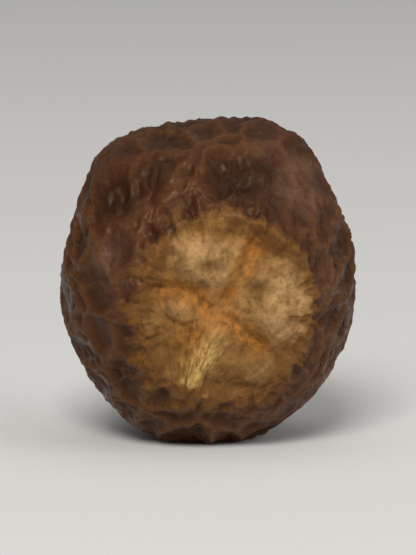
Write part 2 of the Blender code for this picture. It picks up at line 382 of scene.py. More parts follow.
@dataclass
class Scar:
    """The corky scar: which way it faces, the outline and horns of its lip, and the relief of its face."""

    azimuth: float = -82.5
    elevation: float = -4.5
    radius: float = 5.3 * MM
    mean_body_radius: float = 9.325 * MM
    tallness: float = 0.05
    stalk_angle: float = -113.0
    notch_depth: float = 0.05
    notch_spread: float = 26.0
    outline_wander: float = 0.05
    outline_wander_length: float = 0.55
    outline_fray: float = 0.03
    outline_fray_length: float = 0.12
    lip_height: float = 0.36 * MM
    lip_wander: float = 0.16 * MM
    lip_wander_length: float = 0.3
    lip_fray: float = 0.17 * MM
    lip_fray_length: float = 0.07
    lip_wall: float = 0.17
    bulge: float = 0.3 * MM
    edge_fade: float = 0.78
    lobe_plateau: float = 0.5
    lobe_foot: float = 1.15
    lobe_wander: float = 0.16
    lobe_wander_length: float = 1.4 * MM
    groove_width: float = 0.45
    groove_depth: float = 0.55 * MM
    stalk_width: float = 0.62
    stalk_height: float = 0.6 * MM
    cork_height: float = 0.24 * MM
    cork_length: float = 1.3 * MM
    fan_foot: tuple[float, float] = (-2.5, -6.6)
    fan_radius: float = 8.0
    fan_run: float = 0.3
    fibre_width: float = 0.55
    fibre_height: float = 0.10 * MM
    fibre_share: float = 0.5
    fibre_on_stalk: float = 0.9
    fine_calm: tuple[float, float] = (0.93, 1.0)
    grain_height: float = 0.08 * MM
    grain_cell: float = 0.62 * MM
    grain_jitter: float = 0.9
    grain_edge: float = 0.28
    grain_mean: float = 0.6
    grain_patch_length: float = 2.1 * MM
    crumb_height: float = 0.05 * MM
    crumb_length: float = 0.3 * MM
    horns: tuple[Horn, ...] = (Horn(-127, 28, 0.16), Horn(52, 26, 0.4))
    lobes: tuple[Lobe, ...] = (
        Lobe(-0.9, 2.9, 2.5, 1.75, -10, 0.8),
        Lobe(3.1, 0.5, 1.8, 2.8, 12, 0.85),
        Lobe(1.8, -3.6, 1.4, 1.0, -15, 0.4),
        Lobe(-2.7, 0.1, 1.1, 0.8, -25, 0.4),
    )
    pits: tuple[Pit, ...] = (Pit(-1.1, 2.45, 0.36, 0.45), Pit(1.9, 1.25, 0.4, 0.45))
    hollow: Pit = Pit(-2.0, -1.7, 0.9, 0.3)
    grooves: tuple[Path, ...] = (
        ((2.2, 4.5), (1.0, 2.6), (0.1, 0.7), (-0.9, -0.2)),
        ((-0.9, -0.2), (0.5, -0.9), (1.9, -2.2)),
        ((-4.5, 1.4), (-3.2, 1.3), (-1.9, 0.9), (-0.9, -0.2)),
    )
    stalk_scar: Path = ((-0.6, -1.2), (-1.25, -2.9), (-2.1, -4.7))
    # Painted shade: soft dark places on the scar's face, which feed its shade mask.
    painted_shade_places: tuple[Blot, ...] = (
        Blot(3.3, -3.9, 1.5, 0.8),
        Blot(-0.1, -4.1, 0.85, 0.95),
        Blot(-4.0, -2.6, 1.6, 0.5),
        Blot(-4.6, 2.2, 1.2, 0.5),
    )
    pale_middle: Blot = Blot(-0.2, 0.4, 2.3, 0.5)
    cream_shares: tuple[float, ...] = (1.0, 0.9, 0.45, 0.25)
    cream_plateau: float = 0.35
    cream_foot: float = 1.2
    ragged_share: float = 0.5
    ragged_length: float = 0.5 * MM
    # The pits' tint is painted shade: less cream and more of the shade mask round each pit.
    pit_tint_reach: float = 1.2
    pit_cream_loss: float = 0.6
    pit_shade: float = 0.45
    valley_width: float = 0.62
    stalk_tint_width: float = 0.68
    stalk_tint_range: tuple[float, float] = (-0.5, -2.6)
    stain_inside: float = 0.75 * MM
    stain_outside: float = 0.5 * MM
    wide_stain: Horn = Horn(-122, 60, 1.15)
    tear_length: float = 0.08
    tear_height: float = 0.26 * MM
    tear_start: tuple[float, float] = (0.72, 0.9)
    tear_end: tuple[float, float] = (0.95, 1.0)

    def __post_init__(self) -> None:
        """Works out the scar's own directions."""
        self.out = unit_of(self.azimuth, self.elevation)
        self.right = unit_of(self.azimuth + 90.0, 0.0)
        self.up = np.cross(self.out, self.right)

    def direction(self, angle_off: np.ndarray, turn: np.ndarray) -> np.ndarray:
        """Gives unit vectors at an angle off the scar's middle and a turn round it, in radians."""
        flat = np.outer(np.cos(turn), self.right) + np.outer(np.sin(turn), self.up)
        return np.cos(angle_off)[:, None] * self.out + np.sin(angle_off)[:, None] * flat

    def stalk_direction(self) -> np.ndarray:
        """Gives the unit vector from the fruit's middle towards where its stalk was."""
        turn = np.radians(np.array([self.stalk_angle]))
        return self.direction(self.lip_angle(turn), turn)[0]

    def lip_angle(self, turn: np.ndarray) -> np.ndarray:
        """Gives how far off the scar's middle its lip lies at each turn, in radians."""
        degrees = np.degrees(turn)
        from_notch = turn_between(degrees, self.stalk_angle + 180.0)
        shape = 1.0 - self.tallness * np.cos(2.0 * turn)
        shape -= self.notch_depth * bell(from_notch, self.notch_spread)
        around = np.stack((np.cos(turn), np.sin(turn), np.zeros(turn.shape)), axis=1)
        shape += self.outline_wander * noise_at(around, self.outline_wander_length, Draw.OUTLINE)
        shape += self.outline_fray * noise_at(around, self.outline_fray_length, Draw.OUTLINE_FRAY)
        return np.arcsin(self.radius * shape / self.mean_body_radius)

    def lip(self, turn: np.ndarray) -> np.ndarray:
        """Gives how high the lip stands at each turn, frayed and with its horns, in metres."""
        around = np.stack((np.cos(turn), np.sin(turn), np.ones(turn.shape)), axis=1)
        height = self.lip_height + self.lip_wander * noise_at(around, self.lip_wander_length, Draw.LIP)
        height += self.lip_fray * noise_at(around, self.lip_fray_length, Draw.LIP_FRAY)
        for horn in self.horns:
            height += horn.swell(turn)
        return height

    def tear(self, turn: np.ndarray, reach: np.ndarray) -> np.ndarray:
        """Gives the relief of the torn inner wall of the lip: strips that run in from it, in metres."""
        strips = np.stack((np.cos(turn), np.sin(turn), 0.5 * reach), axis=1)
        ragged = noise_at(strips, self.tear_length, Draw.TEAR)
        ragged_band = self.tear_height * ragged * smooth(*self.tear_start, reach)
        return ragged_band * (1.0 - 0.5 * smooth(*self.tear_end, reach))

    @staticmethod
    def path_distance(right: np.ndarray, up: np.ndarray, path: Path) -> np.ndarray:
        """Gives the distance in millimetres from each point of the scar's plane to a path.

        Args:
            right: Places along the scar's right, in millimetres.
            up: Places along the scar's up, in millimetres.
            path: The path's corners.

        Returns:
            One distance a point.
        """
        best = np.full(right.shape, np.inf)
        for (x0, y0), (x1, y1) in zip(path, path[1:]):
            dx, dy = x1 - x0, y1 - y0
            t = np.clip(((right - x0) * dx + (up - y0) * dy) / (dx * dx + dy * dy), 0, 1)
            best = np.minimum(best, np.hypot(right - x0 - t * dx, up - y0 - t * dy))
        return best

    def stain(self, turn: np.ndarray, reach: np.ndarray, lip_distance: np.ndarray) -> np.ndarray:
        """Gives how strongly the ochre stain at the lip shows, 1 on the lip and less on both sides of it.

        Args:
            turn: Turns round the scar, in radians.
            reach: How far out each place on the scar's face is, from 0 to 1.
            lip_distance: How far each place on the skin is from the lip, in metres, and 0 on the face.

        Returns:
            One share a place.
        """
        outside = self.stain_outside + self.wide_stain.swell(turn)
        inside = (1.0 - reach) * self.radius / self.stain_inside
        return np.exp(-np.where(lip_distance > 0.0, lip_distance / outside, inside))

    def groove_distance(self, right: np.ndarray, up: np.ndarray) -> np.ndarray:
        """Gives the distance in millimetres from each point of the scar's plane to the nearest groove."""
        return np.min([self.path_distance(right, up, path) for path in self.grooves], axis=0)

    def plane_of(self, points: np.ndarray) -> tuple[np.ndarray, np.ndarray]:
        """Gives each point's place right and up of the scar's middle, in millimetres."""
        return points @ self.right / MM, points @ self.up / MM

    def fan(self, points: np.ndarray) -> np.ndarray:
        """Gives coordinates in millimetres that run with the fibres, which fan out from the stalk."""
        right, up = self.plane_of(points)
        across, along = right - self.fan_foot[0], up - self.fan_foot[1]
        turn, far = np.arctan2(along, across), np.hypot(across, along)
        depth = points @ self.out / MM
        return np.stack((self.fan_radius * turn, self.fan_run * far, depth), axis=1)

    def face_height(self, points: np.ndarray, reach: np.ndarray) -> np.ndarray:
        """Gives the height of the scar's face over its plane.

        Args:
            points: Places on the scar's plane, in metres.
            reach: How far out each is, from 0 at the middle to 1 at the lip.

        Returns:
            Bulge, lobes, pits, grooves, stalk scar, cork and fibres together, in metres.
        """
        right, up = self.plane_of(points)
        height = self.bulge * (1.0 - reach**2)
        wobble = self.lobe_wander * noise_at(points, self.lobe_wander_length, Draw.LOBES)
        for lobe in self.lobes:
            near = lobe.nearness(right, up) + wobble
            height += lobe.rise * MM * (1.0 - smooth(self.lobe_plateau, self.lobe_foot, near))
        for pit in (*self.pits, self.hollow):
            height -= pit.depth * MM * bell(pit.distance(right, up), pit.radius)
        height -= self.groove_depth * bell(self.groove_distance(right, up), self.groove_width)
        stalk = bell(self.path_distance(right, up, self.stalk_scar), self.stalk_width)
        cork = noise_at(points, self.cork_length, Draw.CORK)
        inner = 1.0 - smooth(self.edge_fade, 1.0, reach)
        height += (self.stalk_height * stalk + self.cork_height * cork) * inner
        return height + self.fine_height(points, stalk) * (1.0 - 0.5 * smooth(*self.fine_calm, reach))

    def fine_height(self, points: np.ndarray, stalk: np.ndarray) -> np.ndarray:
        """Gives the fine relief of the cork: fibres that fan out from the stalk, and torn grains."""
        run = 1.0 - 2.0 * np.abs(noise_at(self.fan(points), self.fibre_width, Draw.FIBRES))
        grains = Honeycomb(GRAIN_SEED, self.grain_jitter, 1).edge_distance(points / self.grain_cell)
        torn = smooth(0.0, self.grain_edge, grains) - self.grain_mean
        coarse = 0.5 + 0.5 * noise_at(points, self.grain_patch_length, Draw.COARSE)
        fibres = self.fibre_height * run * (self.fibre_share + self.fibre_on_stalk * stalk)
        relief = fibres + self.grain_height * torn * coarse
        return relief + self.crumb_height * noise_at(points, self.crumb_length, Draw.CRUMBS)


@dataclass
class Skin:
    """The leathery skin: its raised net of wrinkles, the finer net in it, puckers, dimples and pores."""

    cell: float = 2.3 * MM
    height: float = 0.42 * MM
    mean: float = 0.45
    reach: float = 0.34
    jitter: float = 0.86
    warp: float = 0.75 * MM
    warp_length: float = 2.9 * MM
    crinkle: float = 0.3 * MM
    crinkle_length: float = 1.1 * MM
    crest_share: float = 0.3
    crest_width: float = 0.07
    stretch: float = 1.7
    even: float = 0.8
    uneven: float = 0.35
    uneven_cells: float = 2.6
    fade: float = 1.5 * MM
    pucker_length: float = 1.15 * MM
    pucker_height: float = 0.26 * MM
    pucker_reach: float = 1.5 * MM
    pucker_run: float = 0.25
    pucker_sharpness: float = 3.0
    lip_width: float = 0.9 * MM
    fine_cell: float = 0.9 * MM
    fine_height: float = 0.2 * MM
    fine_jitter: float = 0.9
    fine_reach: float = 0.36
    fine_mean: float = 0.7
    fine_squash: float = 0.35
    fine_sway: tuple[float, float, float] = (0.3, -0.25, 0.35)
    fine_sway_length: float = 1.3 * MM
    fine_patch_length: float = 4.2 * MM
    fine_patch_range: tuple[float, float] = (-0.45, 0.35)
    fine_least: float = 0.35
    fine_most: float = 0.65
    fine_fade: float = 0.5 * MM
    crepe_length: float = 0.42 * MM
    crepe_height: float = 0.06 * MM
    pore_cell: float = 1.55 * MM
    pore_jitter: float = 0.8
    pore_radius: float = 0.13
    pore_depth: float = 0.085 * MM
    dimples: tuple[Mark, ...] = (Mark(-131, 35, 1.25, 0.5), Mark(-72, 46, 1.5, 0.55))
    # The three pale marks at the front are painted sheen: soft highlights on the left flank, the top and the
    # right; the two further round are powdery patches.
    dust_and_sheen_marks: tuple[Mark, ...] = (
        Mark(-130, 13, 1.4, 0.6),
        Mark(-40, 44, 2.3, 0.9),
        Mark(-36, 4, 1.4, 0.4),
        Mark(150, 40, 3.5, 0.5),
        Mark(70, 5, 3.0, 0.5),
    )
    # Painted shade: colour-only dark marks that stand for the shade in dimples; with the dimples' depth they
    # feed the skin's shade mask.
    dark: tuple[Mark, ...] = (Mark(-59, 48, 0.85, 0.8), Mark(-136, 37, 0.8, 0.8))
    dent_for_full_shade: float = 0.5 * MM
    spot_radius: float = 2.5 * MM
    spot_core: float = 0.7
    spot_fade: float = 1.2 * MM
    mark_ball: float = 8.65 * MM

    def net(self, points: np.ndarray, grain: np.ndarray) -> np.ndarray:
        """Gives the raised net at each point, 0 in a hollow and 1 on a ridge.

        Args:
            points: Places on the plump body, in metres.
            grain: The unit vector that the cells are long along.

        Returns:
            One height a point.
        """
        moved = points + self.warp * wander_at(points, self.warp_length, Draw.WARP)
        moved = (moved + self.crinkle * wander_at(points, self.crinkle_length, Draw.CRINKLE)) / self.cell
        moved -= np.outer(moved @ grain, grain) * (1.0 - 1.0 / self.stretch)
        strength = self.even + self.uneven * noise_at(points, self.uneven_cells * self.cell, Draw.NET)
        edge = Honeycomb(NET_SEED, self.jitter).edge_distance(moved)
        crest = (1.0 - self.crest_share) * (1.0 - smooth(0.0, self.reach, edge))
        return (crest + self.crest_share * np.exp(-edge / self.crest_width)) * strength

    def fine_relief(self, points: np.ndarray, grain: np.ndarray) -> np.ndarray:
        """Gives the finer net, the crepe and the pores between the ridges, in metres."""
        sway = noise_at(points, self.fine_sway_length, Draw.SWAY)[:, None] * np.array(self.fine_sway) * MM
        moved = (points + sway) / self.fine_cell
        moved -= np.outer(moved @ grain, grain) * self.fine_squash
        edge = Honeycomb(FINE_NET_SEED, self.fine_jitter, 1).edge_distance(moved)
        patchy = smooth(*self.fine_patch_range, noise_at(points, self.fine_patch_length, Draw.FINE_NET))
        net = self.fine_height * (self.fine_mean - smooth(0.0, self.fine_reach, edge))
        relief = net * (self.fine_least + self.fine_most * patchy)
        relief += self.crepe_height * noise_at(points, self.crepe_length, Draw.CREPE)
        pore = Honeycomb(PORE_SEED, self.pore_jitter, 1).middle_distance(points / self.pore_cell)
        return relief - self.pore_depth * bell(pore, self.pore_radius)

    def marks_at(self, points: np.ndarray, marks: tuple[Mark, ...], unit: float = 1.0) -> np.ndarray:
        """Gives how strong some soft round marks are together at each point.

        Args:
            points: Places near the fruit's outside, in metres.
            marks: The marks.
            unit: What a strength of 1 stands for.

        Returns:
            One strength a point, 0 where there are no marks.
        """
        directions = points / np.linalg.norm(points, axis=1)[:, None]
        strength = np.zeros(len(points))
        for mark in marks:
            toward = unit_of(mark.azimuth, mark.elevation)
            apart = np.linalg.norm(directions - toward, axis=1) * self.mark_ball
            strength += mark.strength * unit * bell(apart, mark.radius * MM)
        return strength

    def dents(self, points: np.ndarray) -> np.ndarray:
        """Gives the depth of the deep dimples at each point, in metres."""
        return self.marks_at(points, self.dimples, MM)

    def spot_fade_at(self, points: np.ndarray) -> np.ndarray:
        """Gives 0 on the flat spot and 1 away from it."""
        aside = np.hypot(points[:, 0], points[:, 1])
        foot = self.spot_radius + self.spot_fade
        near = (points[:, 2] < 0) & (aside < foot)
        return np.where(near, smooth(self.spot_radius * self.spot_core, foot, aside), 1.0)


@dataclass
class Surface:
    """A finished surface of the fruit: its places, and the masks and coordinates that its materials read."""

    places: np.ndarray
    masks: dict[Mask, np.ndarray]
    runs: dict[Run, np.ndarray]


@dataclass
class Soapberry:
    """The whole fruit as one closed mesh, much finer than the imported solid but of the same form."""

    body: Body
    scar: Scar
    skin: Skin
    cap_cuts: tuple[int, ...] = (4, 28)
    ring_cuts: tuple[int, ...] = (6, 25)
    back_angle: float = 142.0
    ring_crowding: float = 1.18

    def surface(self, cube: np.ndarray) -> Surface:
        """Works out where each point of a cube of half-size 1 goes on the fruit.

        The cube's front face becomes the scar, its four sides run from the lip to the back, and its back
        face closes the back.

        Args:
            cube: The cube's points, one a row.

        Returns:
            The places, in metres from the fruit's middle, and the masks.
        """
        scar, skin = self.scar, self.skin
        u, v = cube[:, 0], cube[:, 2]
        x, y = u * np.sqrt(1.0 - v * v / 2.0), v * np.sqrt(1.0 - u * u / 2.0)
        turn, reach = np.arctan2(y, x), np.minimum(np.hypot(x, y), 1.0)
        run = np.clip((cube[:, 1] + 1.0) / 2.0, 0.0, 1.0)
        in_scar, in_back = run <= 0.0, run >= 1.0

        lip_angle = scar.lip_angle(turn)
        back_angle = math.radians(self.back_angle)
        angle = lip_angle + (back_angle - lip_angle) * run**self.ring_crowding
        angle = np.where(in_back, math.pi - (math.pi - back_angle) * reach, angle)
        directions = scar.direction(angle, turn)
        points = directions * self.body.radius(directions)[:, None]

        lip_directions = scar.direction(lip_angle, turn)
        lip_points = lip_directions * self.body.radius(lip_directions)[:, None]
        middle = scar.out * (lip_points @ scar.out).mean()
        face_points = middle + (lip_points - middle) * reach[:, None]
        points = np.where(in_scar[:, None], face_points, points)
        outward = points / np.linalg.norm(points, axis=1)[:, None]

        lip = scar.lip(turn)
        lip_distance = np.where(in_scar, 0.0, (angle - lip_angle) * np.linalg.norm(points, axis=1))
        height = np.empty(len(points))
        ridge = np.zeros(len(points))
        inside = np.flatnonzero(in_scar)
        rise = lip[inside] * smooth(1.0 - scar.lip_wall, 1.0, reach[inside])
        rise += scar.tear(turn[inside], reach[inside])
        height[inside] = scar.face_height(points[inside], reach[inside]) + rise
        outside = np.flatnonzero(~in_scar)
        height[outside], ridge[outside] = self._skin_height(
            points[outside], lip_points[outside], lip_distance[outside]
        )
        height[outside] += lip[outside] * np.exp(-lip_distance[outside] / skin.lip_width)
        masks = self._masks(points, in_scar)
        masks[Mask.LIP] = scar.stain(turn, reach, lip_distance)
        masks[Mask.RIDGE] = ridge
        round_lip = scar.radius * np.stack((np.cos(turn), np.sin(turn)), axis=1)
        runs = {
            Run.FIBRES: scar.fan(points),
            Run.PUCKERS: np.column_stack((round_lip, skin.pucker_run * lip_distance)) / MM,
        }
        return Surface(points + outward * height[:, None], masks, runs)

    def _skin_height(
        self, points: np.ndarray, lip_points: np.ndarray, lip_distance: np.ndarray
    ) -> tuple[np.ndarray, np.ndarray]:
        """Gives the height of the skin's relief, and the net's own height from 0 to 1."""
        skin = self.skin
        grain = self.scar.stalk_direction()
        spot = skin.spot_fade_at(points)
        fade = smooth(0.0, skin.fade, lip_distance) * spot
        net = skin.net(points, grain)
        height = skin.height * (net - skin.mean) * fade
        streaks = noise_at(lip_points + skin.pucker_run * points, skin.pucker_length, Draw.PUCKERS)
        pucker = 1.0 - skin.pucker_sharpness * np.abs(streaks)
        swell = np.exp(-lip_distance / skin.pucker_reach)
        swell *= smooth(0.0, skin.pucker_reach / 2, lip_distance)
        height += skin.pucker_height * pucker * swell - skin.dents(points)
        height += skin.fine_relief(points, grain) * spot * smooth(0.0, skin.fine_fade, lip_distance)
        return height, np.clip(net * fade, 0.0, 1.0)

    def _masks(self, points: np.ndarray, in_scar: np.ndarray) -> dict[Mask, np.ndarray]:
        """Gives the masks that tint the scar's face, with painted shade at its pits, and the skin's painted
        shade in the dimples and at the dark marks, and its pale powdery marks and painted sheen.
        """
        scar, skin = self.scar, self.skin
        right, up = scar.plane_of(points)
        wobble = 2.0 * scar.lobe_wander * noise_at(points, scar.lobe_wander_length, Draw.LOBES)
        ragged = 1.0 + scar.ragged_share * noise_at(points, scar.ragged_length, Draw.RAGGED)
        cream = np.zeros(len(points))
        for lobe, share in zip(scar.lobes, scar.cream_shares):
            near = lobe.nearness(right, up) + wobble
            cream += share * (1.0 - smooth(scar.cream_plateau, scar.cream_foot, near))
        cream += scar.pale_middle.strength(right, up)
        pit = np.zeros(len(points))
        for hole in scar.pits:
            pit += bell(hole.distance(right, up) * ragged, hole.radius * scar.pit_tint_reach)
        valley = bell(scar.hollow.distance(right, up), scar.hollow.radius * scar.pit_tint_reach)
        valley += bell(scar.groove_distance(right, up) * ragged, scar.valley_width)
        stalk = bell(scar.path_distance(right, up, scar.stalk_scar) * ragged, scar.stalk_tint_width)
        stalk *= smooth(*scar.stalk_tint_range, up)
        shade = np.zeros(len(points))
        for blot in scar.painted_shade_places:
            shade += blot.strength(right, up)
        # On the skin the shade mask is painted shade: deeper where the dimples dent in, and at the dark
        # marks.
        dents = skin.dents(points) / skin.dent_for_full_shade + skin.marks_at(points, skin.dark)
        return {
            Mask.CREAM: np.clip(cream - scar.pit_cream_loss * pit, 0.0, 1.0) * in_scar,
            Mask.VALLEY: np.clip(valley, 0.0, 1.0) * in_scar,
            Mask.STALK: np.clip(stalk, 0.0, 1.0) * in_scar,
            Mask.SHADE: np.clip(np.where(in_scar, scar.pit_shade * pit + shade, dents), 0.0, 1.0),
            Mask.DUST_AND_SHEEN: np.clip(skin.marks_at(points, skin.dust_and_sheen_marks), 0.0, 1.0),
        }

    def _stand(self, places: np.ndarray) -> np.ndarray:
        """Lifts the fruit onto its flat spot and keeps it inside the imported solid's box."""
        underside = self.body.radius(np.array(((0.0, 0.0, -1.0),)))[0]
        press = self.skin.spot_radius**2 / (2.0 * self.body.half_height)
        lifted = places + np.array((0.0, 0.0, underside - press))
        lifted[:, 2] = np.maximum(lifted[:, 2], 0.0)
        for axis in range(3):
            high = min(1.0, CAD_HIGH[axis] / lifted[:, axis].max())
            low = min(1.0, CAD_LOW[axis] / min(lifted[:, axis].min(), -TINY))
            column = lifted[:, axis]
            lifted[:, axis] = np.where(column > 0.0, column * high, column * low)
        return lifted

    @staticmethod
    def _cut(berry: bpy.types.Object, along: bool, pieces: int) -> None:
        """Cuts the cube's edges that run along its depth, or all the others, into equal pieces."""
        mesh = bmesh.from_edit_mesh(berry.data)
        for edge in mesh.edges:
            depth = abs(edge.verts[0].co.y - edge.verts[1].co.y)
            edge.select_set((depth > TINY) == along)
        bmesh.update_edit_mesh(berry.data)
        bpy.ops.mesh.subdivide(number_cuts=pieces - 1, smoothness=0.0)

    def build(
        self, skin_material: bpy.types.Material, scar_material: bpy.types.Material
    ) -> bpy.types.Object:
        """Models the fruit and dresses it.

        Args:
            skin_material: The material of the skin.
            scar_material: The material of the scar's face.

        Returns:
            The finished piece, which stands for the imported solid.
        """
        bpy.ops.object.select_all(action="DESELECT")
        bpy.ops.mesh.primitive_cube_add(size=2.0, location=(0.0, 0.0, 0.0))
        berry = bpy.context.active_object
        berry.name = berry.data.name = "wrinkled_fruit"
        bpy.ops.object.mode_set(mode="EDIT")
        bpy.ops.mesh.select_mode(type="EDGE")
        for pieces in self.ring_cuts:
            self._cut(berry, True, pieces)
        for pieces in self.cap_cuts:
            self._cut(berry, False, pieces)
        bpy.ops.object.mode_set(mode="OBJECT")

        mesh = berry.data
        cube = np.empty(len(mesh.vertices) * 3)
        mesh.vertices.foreach_get("co", cube)
        cube = cube.reshape(-1, 3)
        middles = np.empty(len(mesh.polygons) * 3)
        mesh.polygons.foreach_get("center", middles)
        on_scar = middles.reshape(-1, 3)[:, 1] < -1.0 + 1e-5
        surface = self.surface(cube)
        mesh.vertices.foreach_set("co", self._stand(surface.places).ravel())
        for mask, values in surface.masks.items():
            layer = mesh.attributes.new(mask.value, "FLOAT", "POINT")
            layer.data.foreach_set("value", values.astype(np.float32))
        for run, values in surface.runs.items():
            layer = mesh.attributes.new(run.value, "FLOAT_VECTOR", "POINT")
            layer.data.foreach_set("vector", values.astype(np.float32).ravel())
        mesh.materials.clear()
        mesh.materials.append(skin_material)
        mesh.materials.append(scar_material)
        mesh.polygons.foreach_set("material_index", on_scar.astype(np.int32))
        mesh.shade_smooth()
        mesh.update()
        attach(berry, BODY)
        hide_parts(NODE)
        LOG.info("%s: %d faces", berry.name, len(mesh.polygons))
        return berry


class Graph:
    """A shader node tree with short ways to add nodes and join them."""

    def __init__(self, tree: bpy.types.NodeTree) -> None:
        """Keeps the tree."""
        self.tree = tree

    def add(self, kind: str, **settings: object) -> bpy.types.Node:
        """Adds a node of a kind and sets its own settings."""
        node = self.tree.nodes.new("ShaderNode" + kind)
        for name, value in settings.items():
            setattr(node, name, value)
        return node

    def feed(self, socket: bpy.types.NodeSocket, value: object) -> None:
        """Joins a socket to another, or gives it a plain value."""
        if isinstance(value, bpy.types.NodeSocket):
            self.tree.links.new(value, socket)
        else:
            socket.default_value = value

    def mask(self, mask: Mask) -> Socket:
        """Reads one of the mesh's masks."""
        return self.add("Attribute", attribute_name=mask.value).outputs["Fac"]

    def run(self, run: Run) -> Socket:
        """Reads the coordinates that one kind of streak follows."""
        return self.add("Attribute", attribute_name=run.value).outputs["Vector"]

    def millimetres(self) -> Socket:
        """Gives the piece's own coordinates in millimetres."""
        place = self.add("TexCoord").outputs["Object"]
        scaled = self.add("VectorMath", operation="SCALE")
        self.feed(scaled.inputs[0], place)
        self.feed(scaled.inputs["Scale"], 1.0 / MM)
        return scaled.outputs[0]

    def math(self, operation: str, a: object, b: object, clamp: bool = False) -> Socket:
        """Does a sum on two values."""
        node = self.add("Math", operation=operation, use_clamp=clamp)
        self.feed(node.inputs[0], a)
        self.feed(node.inputs[1], b)
        return node.outputs[0]

    def times(self, a: object, b: object) -> Socket:
        """Multiplies two values."""
        return self.math("MULTIPLY", a, b)

    def vary(self, value: object, cloud: object, amount: float) -> Socket:
        """Adds an amount of a cloud to a value, so that the cloud's middle adds nothing."""
        return self.math("ADD", value, self.times(self.math("SUBTRACT", cloud, 0.5), amount))

    def span(self, value: object, low: float, high: float, start: float = 0.0, end: float = 1.0) -> Socket:
        """Maps low to start and high to end, with a smooth step between and no overshoot."""
        node = self.add("MapRange", interpolation_type="SMOOTHSTEP")
        names = ("Value", "From Min", "From Max", "To Min", "To Max")
        for name, given in zip(names, (value, low, high, start, end)):
            self.feed(node.inputs[name], given)
        return node.outputs[0]

    def mix(self, share: object, a: object, b: object) -> Socket:
        """Mixes two colours by a share."""
        node = self.add("Mix", data_type="RGBA", blend_type="MIX", clamp_factor=True)
        self.feed(node.inputs[0], share)
        self.feed(node.inputs[6], a)
        self.feed(node.inputs[7], b)
        return node.outputs[2]

    def clouds(
        self,
        place: object,
        size: float,
        detail: float = 3.0,
        roughness: float = 0.55,
        distortion: float = 0.0,
    ) -> Socket:
        """Gives cloudy noise round 0.5, with features of about that size in millimetres."""
        node = self.add("TexNoise")
        names = ("Vector", "Scale", "Detail", "Roughness", "Distortion")
        for name, value in zip(names, (place, 1.0 / size, detail, roughness, distortion)):
            self.feed(node.inputs[name], value)
        return node.outputs[0]

    def cells(self, place: object, size: float) -> Socket:
        """Gives the distance to the edges of wavy cells of about that size in millimetres."""
        wave = self.add("TexNoise")
        self.feed(wave.inputs["Vector"], place)
        self.feed(wave.inputs["Scale"], 1.5 / size)
        sway = self.add("VectorMath", operation="MULTIPLY_ADD")
        self.feed(sway.inputs[0], wave.outputs["Color"])
        self.feed(sway.inputs[1], (size, size, size))
        self.feed(sway.inputs[2], place)
        node = self.add("TexVoronoi", feature="DISTANCE_TO_EDGE")
        self.feed(node.inputs["Vector"], sway.outputs[0])
        self.feed(node.inputs["Scale"], 1.0 / size)
        return node.outputs["Distance"]

    def group(self, tree: bpy.types.NodeTree, **values: object) -> bpy.types.Node:
        """Places a node group with its own values."""
        node = self.add("Group")
        node.node_tree = tree
        for name, value in values.items():
            self.feed(node.inputs[name], value)
        return node

    def relief(self, shader: bpy.types.Node, height: object, distance: float) -> None:
        """Gives a shader fine relief through its normal, with the relief's depth in metres."""
        bump = self.add("Bump")
        bump.inputs["Strength"].default_value = 0.8
        bump.inputs["Distance"].default_value = distance
        self.feed(bump.inputs["Height"], height)
        self.feed(shader.inputs["Normal"], bump.outputs[0])


def open_material(name: str) -> tuple[bpy.types.Material, Graph, bpy.types.Node]:
    """Makes a material, and gives it with its graph and its shader."""
    material = bpy.data.materials.new(name)
    material.use_nodes = True
    return material, Graph(material.node_tree), material.node_tree.nodes["Principled BSDF"]


class SharedEffects:
    """The effects that both the skin and the scar use, each built once as a node group."""

    def __init__(self) -> None:
        """Builds the groups."""
        self.mottle = self._mottle()
        self.grit = self._grit()

    @staticmethod
    def _open(
        name: str, inputs: dict[str, tuple[str, float]], outputs: dict[str, str]
    ) -> tuple[Graph, bpy.types.Node, bpy.types.Node]:
        """Makes a group with named sockets.

        Args:
            name: The group's name.
            inputs: Each input's kind and first value.
            outputs: Each output's kind.

        Returns:
            The group's graph, its input node and its output node.
        """
        tree = bpy.data.node_groups.new(name, "ShaderNodeTree")
        for label, (kind, first) in inputs.items():
            socket = tree.interface.new_socket(label, in_out="INPUT", socket_type="NodeSocket" + kind)
            if kind == "Float":
                socket.default_value = first
        for label, kind in outputs.items():
            tree.interface.new_socket(label, in_out="OUTPUT", socket_type="NodeSocket" + kind)
        return Graph(tree), tree.nodes.new("NodeGroupInput"), tree.nodes.new("NodeGroupOutput")

    def _mottle(self) -> bpy.types.NodeTree:
        """Soft blotches of one given size, with a named contrast."""
        graph, start, end = self._open(
            "soft_mottle",
            {"Place": ("Vector", 0.0), "Size": ("Float", 2.0), "Contrast": ("Float", 1.0)},
            {"Mask": "Float"},
        )
        wide = graph.add("TexNoise")
        graph.feed(wide.inputs["Vector"], start.outputs["Place"])
        graph.feed(wide.inputs["Scale"], graph.math("DIVIDE", 1.0, start.outputs["Size"]))
        graph.feed(wide.inputs["Detail"], 4.0)
        graph.feed(wide.inputs["Distortion"], 0.4)
        centred = graph.math("SUBTRACT", wide.outputs[0], 0.5)
        scaled = graph.times(centred, graph.times(start.outputs["Contrast"], 2.2))
        graph.feed(end.inputs["Mask"], graph.math("ADD", scaled, 0.5, clamp=True))
        return graph.tree

    def _grit(self) -> bpy.types.NodeTree:
        """A fine uneven height for bump, and a mask of its low places."""
        graph, start, end = self._open(
            "fine_grit",
            {"Place": ("Vector", 0.0), "Size": ("Float", 0.2)},
            {"Height": "Float", "Low": "Float"},
        )
        tiny = graph.add("TexNoise")
        graph.feed(tiny.inputs["Vector"], start.outputs["Place"])
        graph.feed(tiny.inputs["Scale"], graph.math("DIVIDE", 1.0, start.outputs["Size"]))
        graph.feed(tiny.inputs["Detail"], 5.0)
        graph.feed(tiny.inputs["Roughness"], 0.65)
        graph.feed(end.inputs["Height"], tiny.outputs[0])
        graph.feed(end.inputs["Low"], graph.span(tiny.outputs[0], 0.47, 0.33))
        return graph.tree


